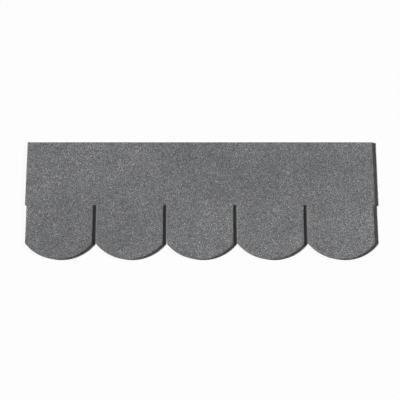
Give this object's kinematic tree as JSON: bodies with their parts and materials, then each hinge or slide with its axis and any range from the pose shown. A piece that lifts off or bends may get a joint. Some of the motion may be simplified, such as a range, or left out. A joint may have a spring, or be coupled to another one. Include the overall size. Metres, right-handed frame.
{
  "type": "asphalt strip shingle",
  "caption": "Flat grey granule-faced asphalt strip shingle with a row of rounded tabs split by narrow slots, laid in overlapping courses to weatherproof a pitched roof.",
  "frame": {"origin": "centre of the strip's box, on the underside", "axes": "+X along the strip, +Y up the roof slope with the tabs pointing to -Y, +Z out of the granule face"},
  "size_m": [1, 0.34, 0.0033],
  "materials": {
    "granuled_bitumen": "matte"
  },
  "bodies": {
    "root": {"shingle_strip": "granuled_bitumen"}
  },
  "joints": []
}
